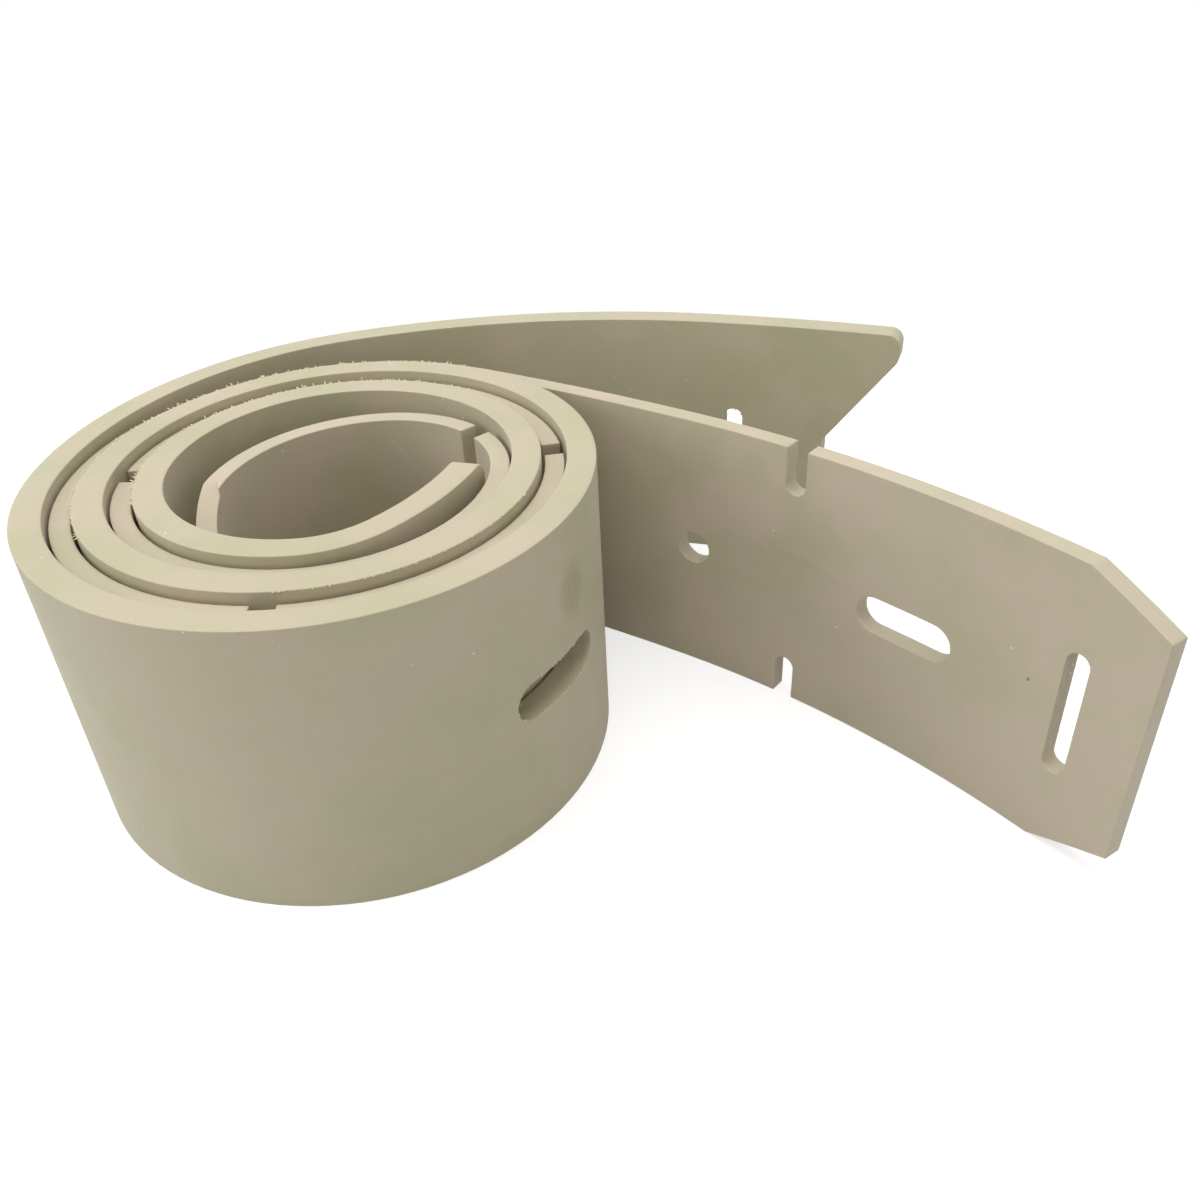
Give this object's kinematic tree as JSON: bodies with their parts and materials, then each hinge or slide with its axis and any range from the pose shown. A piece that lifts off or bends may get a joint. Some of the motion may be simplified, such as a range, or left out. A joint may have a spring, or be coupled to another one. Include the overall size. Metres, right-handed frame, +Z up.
{
  "type": "squeegee blade set",
  "caption": "Two flat rubber squeegee blades for a floor scrubber, one thick and one thin, rolled up together and stood on edge with loose outer ends.",
  "frame": {"origin": "on the surface that the roll stands on, under the middle of the two blades' common box", "axes": "+Z up along the blades' width, +X from the roll towards the loose outer ends, +Y towards the thick blade's outer end"},
  "size_m": [0.1692, 0.1138, 0.0534],
  "materials": {
    "cream_gum_rubber": "matt, cut edges lighter than the moulded faces",
    "tan_gum_rubber": "matt, slightly pinker than the thick blade"
  },
  "bodies": {
    "rear": {"rear_blade": "cream_gum_rubber"},
    "front": {"front_blade": "tan_gum_rubber"}
  },
  "joints": [
    {"name": "front_lift", "type": "slide", "parent": "rear", "child": "front", "axis": [0, 0, 1], "range_m": [0, 0.056]}
  ]
}
